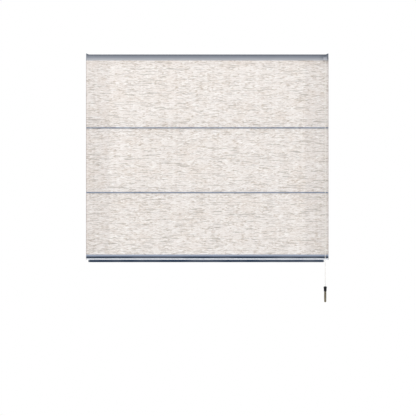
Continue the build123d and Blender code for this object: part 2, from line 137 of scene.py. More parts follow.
def noiseAt(tree, vector, scale, stretch=(1, 1, 1), shift=(0, 0, 0), detail=2.0, rough=0.5):
    mapping = addNode(tree, "ShaderNodeMapping", {"Scale": stretch, "Location": shift})
    tree.links.new(vector, mapping.inputs["Vector"])
    texture = addNode(tree, "ShaderNodeTexNoise", {"Scale": scale, "Detail": detail, "Roughness": rough})
    tree.links.new(mapping.outputs[0], texture.inputs["Vector"])
    return texture.outputs["Fac"]


# Camera, lights and floor

studio = {
    "distance": 16.0,  # far back, so the blind shows nearly no perspective
    "frameWidth": 1.7206,  # metres across the picture at the blind
    "sensorWidth": 36.0,
    "viewEnd": 100.0,
    "aimRight": 0.0029,  # of the blind's middle
    "aimDrop": 0.6335,  # below the headrail's top
    "skySeen": (1, 1, 1, 1),
    "skyCast": (0.97, 0.985, 1.0, 1),
    "skyLight": 0.62,
    "floorDrop": 0.75,  # below the cord weight
    "floorSize": 9.0,
    "floorRoughness": 0.9,
    "floorTone": (0.86, 0.86, 0.85, 1),
    "floorSeen": (0.25, 0.25, 0.25, 1),  # what the camera sees of it, with the glow added
    "floorGlow": 0.6,
}

blindMiddle = (0, 0, -0.42)
lamps = {
    "keyLight": {
        "place": (-1.3, -2.9, 1.3),
        "aim": blindMiddle,
        "size": (1.6, 1.6),
        "power": 54,
        "tint": (1.0, 0.985, 0.97),
    },
    "fillLight": {
        "place": (2.1, -3.0, -1.0),
        "aim": blindMiddle,
        "size": (2.4, 2.4),
        "power": 32,
        "tint": (0.98, 0.985, 1.0),
    },
    "topLight": {
        "place": (0.2, -0.5, 2.0),
        "aim": (0, -0.04, 0),
        "size": (2.2, 0.8),
        "power": 9,
        "tint": (1, 1, 1),
    },
    "backLight": {
        "place": (-1.2, 3.2, 0.6),
        "aim": blindMiddle,
        "size": (2.0, 2.0),
        "power": 60,
        "tint": (1.0, 0.99, 0.97),
    },
}


def makeCamera():
    data = bpy.data.cameras.new("camera")
    data.sensor_width = studio["sensorWidth"]
    data.lens = data.sensor_width * studio["distance"] / studio["frameWidth"]
    data.clip_end = studio["viewEnd"]
    camera = bpy.data.objects.new("camera", data)
    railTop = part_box("headrail")[1].z
    camera.location = (studio["aimRight"], -studio["distance"], railTop - studio["aimDrop"])
    camera.rotation_euler = (math.radians(90), 0, 0)
    bpy.context.scene.collection.objects.link(camera)
    bpy.context.scene.camera = camera


def makeLamp(name, values):
    data = bpy.data.lights.new(name, "AREA")
    data.shape = "RECTANGLE"
    data.size, data.size_y = values["size"]
    data.energy = values["power"]
    data.color = values["tint"]
    lamp = bpy.data.objects.new(name, data)
    lamp.location = values["place"]
    away = Vector(values["aim"]) - Vector(values["place"])
    lamp.rotation_euler = away.to_track_quat("-Z", "Y").to_euler()
    bpy.context.scene.collection.objects.link(lamp)


def cameraRay(tree):
    return tree.nodes.new("ShaderNodeLightPath").outputs["Is Camera Ray"]


def makeSky():
    world = bpy.data.worlds.new("studio")
    bpy.context.scene.world = world
    world.use_nodes = True
    tree = world.node_tree
    tree.nodes.clear()
    seen = addNode(tree, "ShaderNodeBackground", {"Color": studio["skySeen"], "Strength": 1.0})
    cast = addNode(
        tree,
        "ShaderNodeBackground",
        {"Color": studio["skyCast"], "Strength": studio["skyLight"]},
    )
    mix = tree.nodes.new("ShaderNodeMixShader")
    out = tree.nodes.new("ShaderNodeOutputWorld")
    tree.links.new(cameraRay(tree), mix.inputs[0])
    tree.links.new(cast.outputs[0], mix.inputs[1])
    tree.links.new(seen.outputs[0], mix.inputs[2])
    tree.links.new(mix.outputs[0], out.inputs[0])
    bpy.context.scene.view_settings.view_transform = "Standard"


def makeFloor():
    level = cadBox[0][2] - studio["floorDrop"]
    bpy.ops.mesh.primitive_plane_add(size=studio["floorSize"], location=(0, 0, level))
    floor = bpy.context.object
    floor.name = "floor"
    material = bpy.data.materials.new("paleFloor")
    material.use_nodes = True
    tree = material.node_tree
    shader = tree.nodes["Principled BSDF"]
    shader.inputs["Roughness"].default_value = studio["floorRoughness"]
    shader.inputs["Emission Color"].default_value = (1, 1, 1, 1)
    seen = cameraRay(tree)
    tone = mixColour(tree, seen, studio["floorTone"], studio["floorSeen"])
    glow = maths(tree, "MULTIPLY", seen, studio["floorGlow"])
    tree.links.new(tone, shader.inputs["Base Color"])
    tree.links.new(glow, shader.inputs["Emission Strength"])
    floor.data.materials.append(material)


makeCamera()
makeSky()
for lampName, lampValues in lamps.items():
    makeLamp(lampName, lampValues)
makeFloor()
print("stage: camera, lights and floor")


# Shared surface effects


slub = {
    "wander": (20, 1, 34),  # how quickly the yarns sway from straight
    "rowShift": 3.17,  # moves the noise on from yarn to yarn
    "patchFloor": 0.4,
    "gapStart": 0.3,  # from the yarn's middle, as a share of the pitch
    "gapEnd": 0.5,
    "swellFloor": 0.6,
    "swellGain": 0.4,
    "warpPitch": 0.0019,
    "warpRelief": 0.16,
    "cloud": {"stretch": (9, 1, 16), "shift": (5, 2, 1), "detail": 3.0, "rough": 0.6},
    # each mask: the noise's stretch and place, and the band of it that counts
    "Patch": {"stretch": (30, 1, 52), "shift": (2, 0, 9), "low": 0.36, "high": 0.6},
    "Dark Slub": {"stretch": (1, 1, 1), "shift": (3, 0, 7), "low": 0.5, "high": 0.64},
    "Light Slub": {"stretch": (0.8, 1, 1), "shift": (41, 0, 19), "low": 0.48, "high": 0.64},
    "Stray Yarn": {"stretch": (0.24, 1, 1), "shift": (11, 0, 23), "low": 0.56, "high": 0.64},
}


def makeSlubGroup():  # weft yarns one by one, each with its own thick, pale and dark stretches
    tree, start, end = newGroup(
        "slubWeave",
        [
            ("Vector", "NodeSocketVector", None),
            ("Yarn Pitch", "NodeSocketFloat", 0.0016),
            ("Slub Length", "NodeSocketFloat", 0.02),
            ("Sway", "NodeSocketFloat", 0.01),
        ],
        [
            ("Dark Slub", "NodeSocketFloat"),
            ("Light Slub", "NodeSocketFloat"),
            ("Stray Yarn", "NodeSocketFloat"),
            ("Cloud", "NodeSocketFloat"),
            ("Gap", "NodeSocketFloat"),
            ("Height", "NodeSocketFloat"),
        ],
    )
    link = tree.links.new
    place = start.outputs["Vector"]
    parts = tree.nodes.new("ShaderNodeSeparateXYZ")
    link(place, parts.inputs[0])
    wander = noiseAt(tree, place, 1.0, slub["wander"])
    sway = maths(tree, "MULTIPLY", maths(tree, "SUBTRACT", wander, 0.5), start.outputs["Sway"])
    count = maths(tree, "DIVIDE", maths(tree, "ADD", parts.outputs["Z"], sway), start.outputs["Yarn Pitch"])
    row = maths(tree, "FLOOR", count)
    across = maths(tree, "FRACT", count)
    yarn = tree.nodes.new("ShaderNodeCombineXYZ")
    link(maths(tree, "DIVIDE", parts.outputs["X"], start.outputs["Slub Length"]), yarn.inputs[0])
    link(maths(tree, "MULTIPLY", row, slub["rowShift"]), yarn.inputs[2])

    along = yarn.outputs[0]

    def mask(label, vector, floor=0.0):
        values = slub[label]
        field = noiseAt(tree, vector, 1.0, values["stretch"], values["shift"])
        return spread(tree, field, values["low"], values["high"], floor)

    patch = mask("Patch", place, slub["patchFloor"])
    dark = maths(tree, "MULTIPLY", mask("Dark Slub", along), patch)
    light = mask("Light Slub", along)
    stray = mask("Stray Yarn", along)
    cloud = noiseAt(tree, place, 1.0, **slub["cloud"])
    offCentre = maths(tree, "ABSOLUTE", maths(tree, "SUBTRACT", across, 0.5))
    gap = spread(tree, offCentre, slub["gapStart"], slub["gapEnd"])
    turn = maths(tree, "MULTIPLY", parts.outputs["X"], 2 * math.pi / slub["warpPitch"])
    warp = maths(tree, "SINE", maths(tree, "ADD", turn, maths(tree, "MULTIPLY", row, math.pi)))
    swell = maths(tree, "MULTIPLY_ADD", light, slub["swellGain"], slub["swellFloor"])
    rounded = maths(tree, "MULTIPLY", maths(tree, "SUBTRACT", 1.0, gap), swell)
    height = maths(tree, "MULTIPLY_ADD", warp, slub["warpRelief"], rounded)
    link(dark, end.inputs["Dark Slub"])
    link(light, end.inputs["Light Slub"])
    link(stray, end.inputs["Stray Yarn"])
    link(cloud, end.inputs["Cloud"])
    link(gap, end.inputs["Gap"])
    link(height, end.inputs["Height"])
    return tree


coating = {
    "peel": {"scale": 1400.0},
    "marks": {"scale": 14.0, "stretch": (0.6, 2, 6), "detail": 5.0, "rough": 0.62},
    "markStart": 0.35,
    "markEnd": 0.7,
    "markShare": 0.55,
    "markRough": 0.12,
    "paler": (0.85, 0.86, 0.88, 1),
    "palerShare": 0.14,
    "specks": {"scale": 420.0, "detail": 3.0, "rough": 0.7},
    "speckStart": 0.56,
    "speckEnd": 0.74,
    "dustTone": (0.62, 0.61, 0.6, 1),
    "dustRough": 0.3,
}


def makeCoatGroup():  # powder coat: fine orange peel, faint dust and handling marks
    tree, start, end = newGroup(
        "powderCoat",
        [
            ("Vector", "NodeSocketVector", None),
            ("Tone", "NodeSocketColor", (0.3, 0.3, 0.3, 1)),
            ("Dust", "NodeSocketFloat", 0.2),
            ("Rough", "NodeSocketFloat", 0.4),
        ],
        [("Color", "NodeSocketColor"), ("Roughness", "NodeSocketFloat"), ("Height", "NodeSocketFloat")],
    )
    link = tree.links.new
    place = start.outputs["Vector"]
    tone = start.outputs["Tone"]
    peel = noiseAt(tree, place, **coating["peel"])
    marks = noiseAt(tree, place, **coating["marks"])
    specks = noiseAt(tree, place, **coating["specks"])
    cloudy = spread(tree, marks, coating["markStart"], coating["markEnd"])
    lighter = mixColour(tree, coating["palerShare"], tone, coating["paler"])
    base = mixColour(tree, maths(tree, "MULTIPLY", cloudy, coating["markShare"]), tone, lighter)
    dust = spread(tree, specks, coating["speckStart"], coating["speckEnd"])
    dustMask = maths(tree, "MULTIPLY", dust, start.outputs["Dust"])
    dusty = mixColour(tree, dustMask, base, coating["dustTone"])
    markRough = maths(tree, "MULTIPLY", cloudy, coating["markRough"])
    dustRough = maths(tree, "MULTIPLY", dustMask, coating["dustRough"])
    rough = maths(tree, "ADD", maths(tree, "ADD", start.outputs["Rough"], markRough), dustRough)
    link(dusty, end.inputs["Color"])
    link(rough, end.inputs["Roughness"])
    link(peel, end.inputs["Height"])
    return tree


braiding = {
    "soil": {"scale": 60.0, "detail": 4.0, "rough": 0.6},
    "soilShare": 0.25,
    "strandStart": 0.1,
    "strandEnd": 0.8,
    "roughness": 0.8,
    "sheen": 0.1,
}


def makeBraidGroup():  # crossing strands of a braided or woven narrow piece
    tree, start, end = newGroup(
        "braid",
        [
            ("Vector", "NodeSocketVector", None),
            ("Pitch", "NodeSocketFloat", 0.0016),
            ("Lean", "NodeSocketFloat", 1.6),
        ],
        [("Strand", "NodeSocketFloat"), ("Soil", "NodeSocketFloat")],
    )
    link = tree.links.new
    parts = tree.nodes.new("ShaderNodeSeparateXYZ")
    link(start.outputs["Vector"], parts.inputs[0])
    turn = maths(tree, "DIVIDE", 2 * math.pi, start.outputs["Pitch"])
    side = maths(tree, "ADD", parts.outputs["X"], parts.outputs["Y"])
    lean = maths(tree, "MULTIPLY", side, start.outputs["Lean"])
    rising = maths(tree, "ADD", parts.outputs["Z"], lean)
    falling = maths(tree, "SUBTRACT", parts.outputs["Z"], lean)
    up = maths(tree, "SINE", maths(tree, "MULTIPLY", rising, turn))
    down = maths(tree, "SINE", maths(tree, "MULTIPLY", falling, turn))
    strand = maths(tree, "MULTIPLY_ADD", maths(tree, "MAXIMUM", up, down), 0.5, 0.5)
    soil = noiseAt(tree, start.outputs["Vector"], **braiding["soil"])
    link(strand, end.inputs["Strand"])
    link(soil, end.inputs["Soil"])
    return tree


graining = {
    "grain": {"scale": 1.0, "stretch": (900, 900, 60), "detail": 4.0, "rough": 0.6},
    "grainStart": 0.32,
    "grainEnd": 0.68,
    "blotch": {"scale": 90.0, "detail": 3.0},
    "blotchStart": 0.3,
    "blotchEnd": 0.7,
}


def makeGrainGroup():  # long fine grain: brushed metal, turned wood or drawn plastic, by its stretch
    tree, start, end = newGroup(
        "longGrain",
        [
            ("Vector", "NodeSocketVector", None),
            ("Pale", "NodeSocketColor", (0.6, 0.6, 0.6, 1)),
            ("Deep", "NodeSocketColor", (0.4, 0.4, 0.4, 1)),
            ("Fineness", "NodeSocketFloat", 1.0),
        ],
        [("Color", "NodeSocketColor"), ("Grain", "NodeSocketFloat"), ("Blotch", "NodeSocketFloat")],
    )
    link = tree.links.new
    scaled = addNode(tree, "ShaderNodeVectorMath", operation="SCALE")
    link(start.outputs["Vector"], scaled.inputs[0])
    link(start.outputs["Fineness"], scaled.inputs["Scale"])
    grain = noiseAt(tree, scaled.outputs[0], **graining["grain"])
    blotch = noiseAt(tree, start.outputs["Vector"], **graining["blotch"])
    streak = spread(tree, grain, graining["grainStart"], graining["grainEnd"])
    colour = mixColour(tree, streak, start.outputs["Deep"], start.outputs["Pale"])
    link(colour, end.inputs["Color"])
    link(grain, end.inputs["Grain"])
    link(blotch, end.inputs["Blotch"])
    return tree


slubWeave = makeSlubGroup()
powderCoat = makeCoatGroup()
braid = makeBraidGroup()
longGrain = makeGrainGroup()


# Materials


def newMaterial(name, sockets):
    material = bpy.data.materials.new(name)
    material.use_nodes = True
    tree = material.node_tree
    shader = tree.nodes["Principled BSDF"]
    for key, value in sockets.items():
        shader.inputs[key].default_value = value
    place = tree.nodes.new("ShaderNodeTexCoord").outputs["Object"]
    return material, tree, shader, place


def useGroup(tree, group, place, values):
    node = tree.nodes.new("ShaderNodeGroup")
    node.node_tree = group
    tree.links.new(place, node.inputs["Vector"])
    for key, value in values.items():
        node.inputs[key].default_value = value
    return node


def addBump(tree, shader, height, strength, distance):
    bump = addNode(tree, "ShaderNodeBump", {"Strength": strength, "Distance": distance})
    tree.links.new(height, bump.inputs["Height"])
    tree.links.new(bump.outputs[0], shader.inputs["Normal"])


linen = {
    "cream": (0.79, 0.745, 0.715, 1),
    "white": (0.955, 0.935, 0.92, 1),
    "taupe": (0.47, 0.395, 0.33, 1),
    "grey": (0.40, 0.365, 0.33, 1),
    "rose": (0.75, 0.69, 0.645, 1),
    "cloudStart": 0.42,
    "cloudEnd": 0.68,
    "lightShare": 0.8,
    "darkShare": 0.85,
    "strayShare": 0.8,
    "gapShadeShare": 0.22,
    "yarnPitch": 0.0017,
    "slubLength": 0.017,
    "sway": 0.013,
    "sideShadeTone": (0.92, 0.915, 0.915, 1),  # painted shade, darker along both sides
    "sideShadeStart": 0.4,  # from the middle of the blind
    "sideShadeEnd": 0.408,
    "topShadeTone": (0.945, 0.935, 0.93, 1),  # painted shade along its top, under the headrail where the tape lies behind the cloth
    "topShadeStart": -0.031,
    "topShadeEnd": -0.029,
    "edgeShadeTone": (0.74, 0.71, 0.70, 1),  # painted shade on the folded edge itself
    "edgeShadeStart": 0.4955,
    "edgeShadeEnd": 0.498,
    "roughness": 0.92,
    "sheen": 0.12,
    "bump": 0.5,
    "bumpDepth": 0.0007,
}


def makeLinen():
    sockets = {"Roughness": linen["roughness"], "Sheen Weight": linen["sheen"]}
    material, tree, shader, place = newMaterial("linen", sockets)
    sizes = {"Yarn Pitch": linen["yarnPitch"], "Slub Length": linen["slubLength"], "Sway": linen["sway"]}
    weave = useGroup(tree, slubWeave, place, sizes)

    def layer(under, mask, share, over):
        amount = maths(tree, "MULTIPLY", weave.outputs[mask], share)
        return mixColour(tree, amount, under, linen[over])

    cloud = spread(tree, weave.outputs["Cloud"], linen["cloudStart"], linen["cloudEnd"])
    colour = mixColour(tree, cloud, linen["cream"], linen["rose"])
    colour = layer(colour, "Light Slub", linen["lightShare"], "white")
    colour = layer(colour, "Dark Slub", linen["darkShare"], "taupe")
    colour = layer(colour, "Stray Yarn", linen["strayShare"], "grey")
    # painted shade in the gaps between yarns
    colour = layer(colour, "Gap", linen["gapShadeShare"], "taupe")
    parts = tree.nodes.new("ShaderNodeSeparateXYZ")
    tree.links.new(place, parts.inputs[0])
    sideways = maths(tree, "ABSOLUTE", parts.outputs["X"])
    # painted shade along both sides of the cloth
    sideShadeMask = spread(tree, sideways, linen["sideShadeStart"], linen["sideShadeEnd"])
    colour = mixColour(tree, sideShadeMask, colour, linen["sideShadeTone"], "MULTIPLY")
    # painted shade along the cloth's top
    top = spread(tree, parts.outputs["Z"], linen["topShadeStart"], linen["topShadeEnd"])
    colour = mixColour(tree, top, colour, linen["topShadeTone"], "MULTIPLY")
    # painted shade along the folded edges
    edge = spread(tree, sideways, linen["edgeShadeStart"], linen["edgeShadeEnd"])
    colour = mixColour(tree, edge, colour, linen["edgeShadeTone"], "MULTIPLY")
    tree.links.new(colour, shader.inputs["Base Color"])
    addBump(tree, shader, weave.outputs["Height"], linen["bump"], linen["bumpDepth"])
    return material


bumps = {"coat": 0.12, "depth": 0.0002, "braidShare": 0.2}


def makeCoated(name, tone, rough, dust, shine=0.5, lightAndShadeBands=()):
    material, tree, shader, place = newMaterial(name, {"Specular IOR Level": shine})
    coat = useGroup(tree, powderCoat, place, {"Tone": tone, "Dust": dust, "Rough": rough})
    colour = coat.outputs["Color"]
    if lightAndShadeBands:  # painted shade and painted highlight bands up the profile, each above its level
        parts = tree.nodes.new("ShaderNodeSeparateXYZ")
        tree.links.new(place, parts.inputs[0])
        for lightAndShadeBand in lightAndShadeBands:
            mask = spread(tree, parts.outputs["Z"], lightAndShadeBand["start"], lightAndShadeBand["end"])
            colour = mixColour(tree, mask, colour, lightAndShadeBand["tone"])
    tree.links.new(colour, shader.inputs["Base Color"])
    tree.links.new(coat.outputs["Roughness"], shader.inputs["Roughness"])
    addBump(tree, shader, coat.outputs["Height"], bumps["coat"], bumps["depth"])
    return material


def makeBraided(name, pale, deep, pitch, strength):
    sockets = {"Roughness": braiding["roughness"], "Sheen Weight": braiding["sheen"]}
    material, tree, shader, place = newMaterial(name, sockets)
    strands = useGroup(tree, braid, place, {"Pitch": pitch})
    # painted shade in the valleys between strands and paler painted crowns, then real soil on top
    strandShade = spread(tree, strands.outputs["Strand"], braiding["strandStart"], braiding["strandEnd"])
    soil = maths(tree, "MULTIPLY", strands.outputs["Soil"], braiding["soilShare"])
    shadedAndSoiled = mixColour(tree, soil, mixColour(tree, strandShade, deep, pale), deep)
    tree.links.new(shadedAndSoiled, shader.inputs["Base Color"])
    addBump(tree, shader, strands.outputs["Strand"], strength, pitch * bumps["braidShare"])
    return material


def makeGrained(name, pale, deep, fineness, rough, bump, sockets=None):
    material, tree, shader, place = newMaterial(name, sockets or {})
    grain = useGroup(tree, longGrain, place, {"Pale": pale, "Deep": deep, "Fineness": fineness})
    tree.links.new(grain.outputs["Color"], shader.inputs["Base Color"])
    blotchBand = (graining["blotchStart"], graining["blotchEnd"])
    roughness = spread(tree, grain.outputs["Blotch"], *blotchBand, *rough)
    tree.links.new(roughness, shader.inputs["Roughness"])
    addBump(tree, shader, grain.outputs["Grain"], bump, bumps["depth"])
    return material


# painted shade on the headrail: the slate darkens from its lower edge up to its top, and the top lip is painted
# darker still as a shadow line
railShadeBands = [
    {"start": -0.010, "end": 0.009, "tone": (0.16, 0.177, 0.212, 1)},
    {"start": 0.0104, "end": 0.0124, "tone": (0.075, 0.09, 0.116, 1)},
]
# painted highlight: the dark navy bottom rib is painted paler blue-grey along its upper part, where light from
# above falls
footRibHighlightBands = [{"start": -0.8185, "end": -0.8145, "tone": (0.26, 0.30, 0.39, 1)}]

finishes = {
    "slate_metal": makeCoated("slatePaint", (0.39, 0.402, 0.435, 1), 0.34, 0.12, lightAndShadeBands=railShadeBands),
    "rib": makeCoated("ribPaint", (0.15, 0.2, 0.285, 1), 0.3, 0.1),
    "rib_bottom": makeCoated(
        "footRibPaint", (0.012, 0.026, 0.05, 1), 0.38, 0.08, shine=0.25, lightAndShadeBands=footRibHighlightBands
    ),
    "navy_metal": makeCoated("navyPaint", (0.006, 0.023, 0.056, 1), 0.38, 0.08, shine=0.2),
    "nylon_slate": makeCoated("slateNylon", (0.10, 0.12, 0.155, 1), 0.45, 0.1),
    "linen": makeLinen(),
    "stitch": makeBraided("stitchThread", (0.86, 0.83, 0.79, 1), (0.6, 0.55, 0.5, 1), 0.0009, 0.3),
    "tape_white": makeBraided("wovenTape", (0.85, 0.85, 0.83, 1), (0.66, 0.65, 0.62, 1), 0.0011, 0.6),
    "cord_white": makeBraided("braidedCord", (0.88, 0.86, 0.82, 1), (0.62, 0.58, 0.52, 1), 0.0018, 0.8),
    "steel": makeGrained(
        "zincSteel",
        pale=(0.72, 0.72, 0.72, 1),
        deep=(0.55, 0.56, 0.58, 1),
        fineness=1.0,
        rough=(0.25, 0.42),
        bump=0.15,
        sockets={"Metallic": 1.0},
    ),
    "batten_white": makeGrained(
        "glassFibre",
        pale=(0.88, 0.88, 0.87, 1),
        deep=(0.76, 0.76, 0.74, 1),
        fineness=0.6,
        rough=(0.38, 0.55),
        bump=0.2,
    ),
    "nylon_white": makeGrained(
        "whiteNylon",
        pale=(0.87, 0.86, 0.83, 1),
        deep=(0.82, 0.81, 0.77, 1),
        fineness=0.3,
        rough=(0.4, 0.55),
        bump=0.08,
    ),
    "insert_white": makeGrained(
        "whiteInsert",
        pale=(0.84, 0.86, 0.92, 1),
        deep=(0.76, 0.79, 0.86, 1),
        fineness=0.3,
        rough=(0.2, 0.35),
        bump=0.06,
    ),
    "black_plastic": makeGrained(
        "blackPlastic",
        pale=(0.01, 0.011, 0.013, 1),
        deep=(0.004, 0.004, 0.006, 1),
        fineness=0.4,
        rough=(0.3, 0.5),
        bump=0.08,
        sockets={"Specular IOR Level": 0.15},
    ),
    "olive_wood": makeGrained(
        "oiledWood",
        pale=(0.165, 0.138, 0.08, 1),
        deep=(0.08, 0.064, 0.034, 1),
        fineness=0.35,
        rough=(0.35, 0.55),
        bump=0.25,
        sockets={"Coat Weight": 0.15},
    ),
}
print("stage: materials", len(finishes))


# Cloth: one sheet held at its tapes, ribs and bottom rail, slack between them

ribLevels = [sum(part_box(name)[i].z for i in (0, 1)) / 2 for name in ("rib_upper", "rib_lower")]
sheetLow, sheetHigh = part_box("fabric")
liftTravel = frame["joints"][0]["range_m"][1]
sheetDrop = sheetHigh.z - sheetLow.z
sheetKeep = 1 - liftTravel / sheetDrop

cloth = {
    "simColumns": 81,
    "simRows": 69,
    "simFrames": 24,
    "slack": 0.0022,  # share that the cut is longer than its straight run
    "startDepth": 0.0022,
    "startRipple": 0.0012,
    "rippleAcross": 3.1,
    "rippleDown": 4.0,
    "seed": 7,
    "plainDepth": 0.004,
    "bellyTop": 0.65,  # each panel is fuller towards its foot
    "bellyGain": 0.5,
    "forwardCap": 0.0065,
    "backCap": 0.0018,
    "smoothing": 2,
    "roomRamp": 0.03,
    "ribGrip": 0.006,
    "tapeGrip": 0.021,
    "columns": 226,
    "rows": 172,
    "thickness": 0.0004,
    "layerGap": 0.0001,
    "clearance": 0.00005,
    "hemWidth": 0.045,
    "hemColumns": 7,
}
clothForces = {
    "quality": 5,
    "mass": 0.25,
    "tension_stiffness": 40,
    "compression_stiffness": 30,
    "shear_stiffness": 12,
    "bending_stiffness": 1.2,
    "air_damping": 2.0,
}
tapeFoot = sheetHigh.z - cloth["tapeGrip"]
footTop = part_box("rib_bottom")[1].z


def isHeld(z):
    gaps = [tapeFoot - z, z - footTop] + [abs(z - level) - cloth["ribGrip"] for level in ribLevels]
    return min(gaps) <= 0


def panelBelly(z):
    edges = [tapeFoot, *ribLevels, footTop]
    for upper, lower in zip(edges, edges[1:]):
        if lower < z < upper:
            share = (upper - z) / (upper - lower)
            return math.sin(math.pi * share) * (cloth["bellyTop"] + cloth["bellyGain"] * share)
    return 0.0


def simulateSheet(columns, rows):
    xs = np.linspace(sheetLow.x, sheetHigh.x, columns)
    zs = np.linspace(sheetHigh.z, sheetLow.z, rows)
    mesh = bpy.data.meshes.new("clothTrial")
    points = []
    for z in zs:
        for x in xs:
            place = (x * cloth["rippleAcross"] + cloth["seed"], z * cloth["rippleDown"], 0.5)
            ripple = noise.noise(Vector(place))
            depth = cloth["startDepth"] + cloth["startRipple"] * ripple
            points.append((x, -panelBelly(z) * depth, z))
    faces = []
    for row in range(rows - 1):
        for column in range(columns - 1):
            a = row * columns + column
            faces.append((a, a + columns, a + columns + 1, a + 1))
    mesh.from_pydata(points, [], faces)
    trial = bpy.data.objects.new("clothTrial", mesh)
    bpy.context.scene.collection.objects.link(trial)
    pins = trial.vertex_groups.new(name="pins")
    for index, point in enumerate(points):
        if isHeld(point[2]):
            pins.add([index], 1.0, "REPLACE")
    sim = trial.modifiers.new("cloth", "CLOTH")
    for key, value in clothForces.items():
        setattr(sim.settings, key, value)
    sim.settings.vertex_group_mass = "pins"
    sim.settings.shrink_min = -cloth["slack"]
    sim.collision_settings.use_self_collision = False
    scene = bpy.context.scene
    sim.point_cache.frame_start = 1
    sim.point_cache.frame_end = cloth["simFrames"]
    for step in range(1, cloth["simFrames"] + 1):
        scene.frame_set(step)
    evaluated = trial.evaluated_get(bpy.context.evaluated_depsgraph_get())
    settled = np.empty(len(points) * 3)
    evaluated.data.vertices.foreach_get("co", settled)
    belly = settled.reshape(-1, 3)[:, 1].reshape(rows, columns)
    scene.frame_set(1)
    bpy.data.objects.remove(trial)
    return np.clip(belly, -cloth["forwardCap"], cloth["backCap"])


def coveredSpan(node, anchor):  # the levels of cloth that pass behind or before a piece on its way up
    low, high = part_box(node)
    return anchor - (anchor - low.z) / sheetKeep, anchor + (high.z - anchor) / sheetKeep


def roomAt(z, spans):  # 0 beside those levels, 1 well away from them
    away = min(max(low - z, z - high, 0.0) for low, high in spans)
    share = min(away / cloth["roomRamp"], 1.0)
    return share * share * (3 - 2 * share)


def smooth(field, passes):
    for _ in range(passes):
        padded = np.pad(field, 1, mode="edge")
        field = (
            4 * field + padded[:-2, 1:-1] + padded[2:, 1:-1] + padded[1:-1, :-2] + padded[1:-1, 2:]
        ) / 8
    return field


belly = simulateSheet(cloth["simColumns"], cloth["simRows"])
frontSpans = [
    coveredSpan("rib_upper", ribLevels[0]),
    coveredSpan("rib_lower", ribLevels[1]),
    coveredSpan("rib_bottom", sheetLow.z),
]
backSpans = [
    coveredSpan("batten_upper", ribLevels[0]),
    coveredSpan("batten_lower", ribLevels[1]),
    coveredSpan("bottom_rail", sheetLow.z),
    coveredSpan("loop_tape", sheetHigh.z),
]
rowLevels = np.linspace(sheetHigh.z, sheetLow.z, cloth["simRows"])
frontRoom = np.array([[roomAt(z, frontSpans)] for z in rowLevels])
backRoom = np.array([[roomAt(z, backSpans)] for z in rowLevels])
belly = smooth(belly, cloth["smoothing"])
belly = np.minimum(belly, 0) * frontRoom + np.maximum(belly, 0) * backRoom
print("stage: cloth settled, forward", round(float(-belly.min()) / mm, 2), "mm")


def bellyAt(x, z):
    rows, columns = belly.shape
    u = (x - sheetLow.x) / (sheetHigh.x - sheetLow.x) * (columns - 1)
    v = (sheetHigh.z - z) / (sheetHigh.z - sheetLow.z) * (rows - 1)
    u = min(max(u, 0), columns - 1.001)
    v = min(max(v, 0), rows - 1.001)
    i, j = int(v), int(u)
    s, t = v - i, u - j
    upper = belly[i, j] * (1 - t) + belly[i, j + 1] * t
    lower = belly[i + 1, j] * (1 - t) + belly[i + 1, j + 1] * t
    return float(upper * (1 - s) + lower * s)


def meshPiece(name, points, faces, finish, smoothShading=True):
    mesh = bpy.data.meshes.new(name)
    mesh.from_pydata(points, [], faces)
    mesh.update()
    piece = bpy.data.objects.new(name, mesh)
    bpy.context.scene.collection.objects.link(piece)
    mesh.materials.append(finishes[finish])
    if smoothShading:
        mesh.polygons.foreach_set("use_smooth", [True] * len(mesh.polygons))
    return piece


def applyModifiers(piece):
    graph = bpy.context.evaluated_depsgraph_get()
    old = piece.data
    piece.data = bpy.data.meshes.new_from_object(piece.evaluated_get(graph))
    piece.data.name = piece.name
    piece.modifiers.clear()
    bpy.data.meshes.remove(old)


def sheetSection():  # hem, fold, front, fold, hem
    layerY = sheetLow.y + cloth["clearance"] + cloth["thickness"] / 2
    step = cloth["thickness"] + cloth["layerGap"]
    turn = step / 2
    edge = sheetHigh.x - turn - cloth["thickness"] / 2
    inner = sheetHigh.x - cloth["hemWidth"]

    def fold(side, angles):
        points = []
        for angle in angles:
            a = math.radians(angle)
            points.append((side * (edge + turn * math.sin(a)), layerY + turn + turn * math.cos(a)))
        return points

    section = [(-x, layerY + step) for x in np.linspace(inner, edge, cloth["hemColumns"])]
    section += fold(-1, (45, 90, 135))
    section += [(x, layerY) for x in np.linspace(-edge, edge, cloth["columns"])]
    section += fold(1, (135, 90, 45))
    section += [(x, layerY + step) for x in np.linspace(edge, inner, cloth["hemColumns"])]
    return section


def makeFabric():
    section = sheetSection()
    zs = np.linspace(sheetHigh.z, sheetLow.z, cloth["rows"])
    points = [(x, y + bellyAt(x, z), z) for z in zs for x, y in section]
    width = len(section)
    faces = []
    for row in range(cloth["rows"] - 1):
        for column in range(width - 1):
            a = row * width + column
            faces.append((a, a + 1, a + width + 1, a + width))
    piece = meshPiece("linen_sheet", points, faces, "linen")
    shell = piece.modifiers.new("thickness", "SOLIDIFY")
    shell.thickness = cloth["thickness"]
    shell.offset = 0
    applyModifiers(piece)
    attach(piece, "headrail")
    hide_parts("fabric")
    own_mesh(piece)


makeFabric()


# Stitches: rows of short raised threads that follow the cloth

stitches = {
    "length": 0.0028,
    "pitch": 0.0042,
    "width": 0.0006,
    "sides": 6,
    "flatness": 0.4,
    "rings": ((-1.0, 0.35), (-0.62, 0.9), (0.0, 1.0), (0.62, 0.9), (1.0, 0.35)),  # place, swell
    "hemInset": 0.003,
    "topGap": 0.004,
    "ribGap": 0.004,
    "footGap": 0.002,
    "tapeInset": 0.0025,
    "tapeEnd": 0.004,
    "crossing": 0.002,  # kept clear where the two seams meet
}


